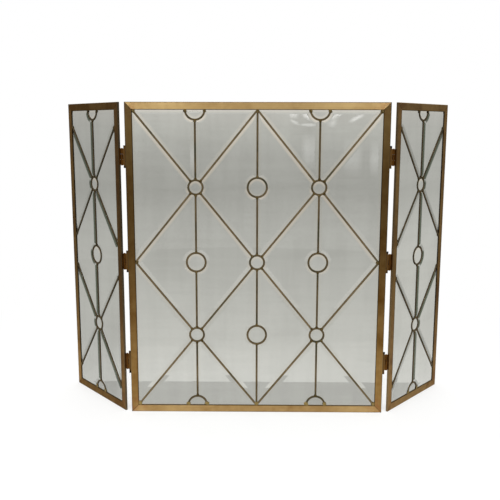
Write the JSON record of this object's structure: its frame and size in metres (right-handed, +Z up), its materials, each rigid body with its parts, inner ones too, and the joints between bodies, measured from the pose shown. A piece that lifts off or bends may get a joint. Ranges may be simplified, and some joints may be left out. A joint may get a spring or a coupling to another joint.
{
  "type": "glass fireplace screen",
  "caption": "Free-standing folding fireplace screen: a wide centre panel with a hinged wing at each side, bevelled glass set in a lattice of brass cames and rings inside mitred brass frames.",
  "frame": {"origin": "middle of the bottom face of the centre panel's bottom rail, halfway through its thickness, on the floor", "axes": "+Z up; +X to the right as the screen is seen from the front; the front faces -Y, so +Y is towards the fire"},
  "size_m": [1.04, 0.2179, 0.8],
  "materials": {
    "frame_brass": "antiqued flat bar, brushed lengthways, darker at the eased edges",
    "came_brass": "dark patinated came",
    "solder": "patinated solder, matt",
    "bevelled_glass": "clear plate glass with polished bevels",
    "hinge_brass": "dark antiqued, worn at the corners",
    "pin_brass": "antiqued, polished where it is peened"
  },
  "bodies": {
    "centre_panel": {"centre_top_rail": "frame_brass", "centre_bottom_rail": "frame_brass", "centre_left_stile": "frame_brass", "centre_right_stile": "frame_brass", "centre_vertical_cames": "came_brass", "centre_diagonal_cames": "came_brass", "centre_small_rings": "came_brass", "centre_large_rings": "came_brass", "centre_half_rings": "came_brass", "centre_solder_beads": "solder", "centre_top_glass": "bevelled_glass", "centre_side_glass": "bevelled_glass", "centre_diamond_glass": "bevelled_glass", "centre_bottom_glass": "bevelled_glass", "centre_small_discs": "bevelled_glass", "centre_large_discs": "bevelled_glass", "centre_half_discs": "bevelled_glass", "left_hinge_centre_leaves": "hinge_brass", "left_hinge_pins": "pin_brass", "right_hinge_centre_leaves": "hinge_brass", "right_hinge_pins": "pin_brass"},
    "left_wing": {"left_top_rail": "frame_brass", "left_bottom_rail": "frame_brass", "left_inner_stile": "frame_brass", "left_outer_stile": "frame_brass", "left_vertical_cames": "came_brass", "left_diagonal_cames": "came_brass", "left_small_rings": "came_brass", "left_large_ring": "came_brass", "left_half_rings": "came_brass", "left_solder_beads": "solder", "left_top_glass": "bevelled_glass", "left_side_glass": "bevelled_glass", "left_middle_glass": "bevelled_glass", "left_bottom_glass": "bevelled_glass", "left_small_discs": "bevelled_glass", "left_large_disc": "bevelled_glass", "left_half_discs": "bevelled_glass", "left_hinge_wing_leaves": "hinge_brass"},
    "right_wing": {"right_top_rail": "frame_brass", "right_bottom_rail": "frame_brass", "right_inner_stile": "frame_brass", "right_outer_stile": "frame_brass", "right_vertical_cames": "came_brass", "right_diagonal_cames": "came_brass", "right_small_rings": "came_brass", "right_large_ring": "came_brass", "right_half_rings": "came_brass", "right_solder_beads": "solder", "right_top_glass": "bevelled_glass", "right_side_glass": "bevelled_glass", "right_middle_glass": "bevelled_glass", "right_bottom_glass": "bevelled_glass", "right_small_discs": "bevelled_glass", "right_large_disc": "bevelled_glass", "right_half_discs": "bevelled_glass", "right_hinge_wing_leaves": "hinge_brass"}
  },
  "joints": [
    {"name": "left_wing_hinge", "type": "hinge", "parent": "centre_panel", "child": "left_wing", "pos_m": [-0.3375, 0.0035, 0.401], "axis": [0, 0, -1], "range_deg": [-140, 130]},
    {"name": "right_wing_hinge", "type": "hinge", "parent": "centre_panel", "child": "right_wing", "pos_m": [0.3375, 0.0035, 0.401], "axis": [0, 0, 1], "range_deg": [-140, 130]}
  ]
}
